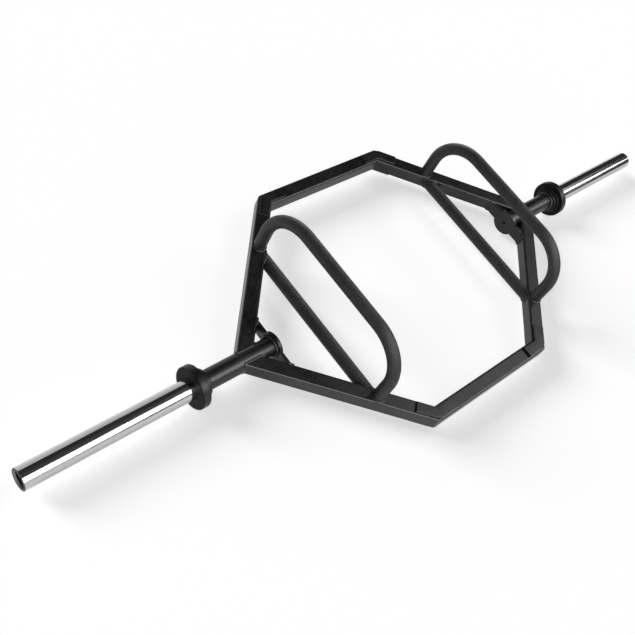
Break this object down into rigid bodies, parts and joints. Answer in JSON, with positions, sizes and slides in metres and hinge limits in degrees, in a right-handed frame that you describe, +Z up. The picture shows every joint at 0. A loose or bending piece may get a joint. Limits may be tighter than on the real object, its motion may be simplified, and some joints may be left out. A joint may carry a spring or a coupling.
{
  "type": "hex trap bar",
  "caption": "Welded hexagonal lifting bar of square tube that the user stands inside, with low and raised parallel grips and a plated loading sleeve behind a flange at each end.",
  "frame": {"origin": "on the floor under the middle of the hexagon, with the flanges standing on the floor", "axes": "+X along the sleeves, +Y from the front bar to the rear bar, +Z up"},
  "size_m": [2.16, 0.722, 0.249],
  "materials": {
    "frame_black": "fine-grained satin powder coat",
    "grip_black": "fine-grained satin powder coat",
    "carrier_black": "smooth satin black",
    "flange_black": "matte black",
    "sleeve_plating": "polished plating",
    "core_steel": "turned steel",
    "plug_black": "moulded black plastic"
  },
  "bodies": {
    "root": {"front_bar": "frame_black", "front_left_bottom_plate": "frame_black", "front_left_diagonal": "frame_black", "front_left_top_plate": "frame_black", "front_right_bottom_plate": "frame_black", "front_right_diagonal": "frame_black", "front_right_top_plate": "frame_black", "left_carrier_tube": "carrier_black", "left_carrier_welds": "carrier_black", "left_end_plug": "plug_black", "left_flange": "flange_black", "left_high_grip": "grip_black", "left_joint_spigot": "core_steel", "left_low_grip": "grip_black", "left_sleeve": "sleeve_plating", "left_tie_plate": "frame_black", "rear_bar": "frame_black", "rear_left_bottom_plate": "frame_black", "rear_left_diagonal": "frame_black", "rear_left_top_plate": "frame_black", "rear_right_bottom_plate": "frame_black", "rear_right_diagonal": "frame_black", "rear_right_top_plate": "frame_black", "right_carrier_tube": "carrier_black", "right_carrier_welds": "carrier_black", "right_end_plug": "plug_black", "right_flange": "flange_black", "right_high_grip": "grip_black", "right_joint_spigot": "core_steel", "right_low_grip": "grip_black", "right_sleeve": "sleeve_plating", "right_tie_plate": "frame_black"}
  },
  "joints": []
}
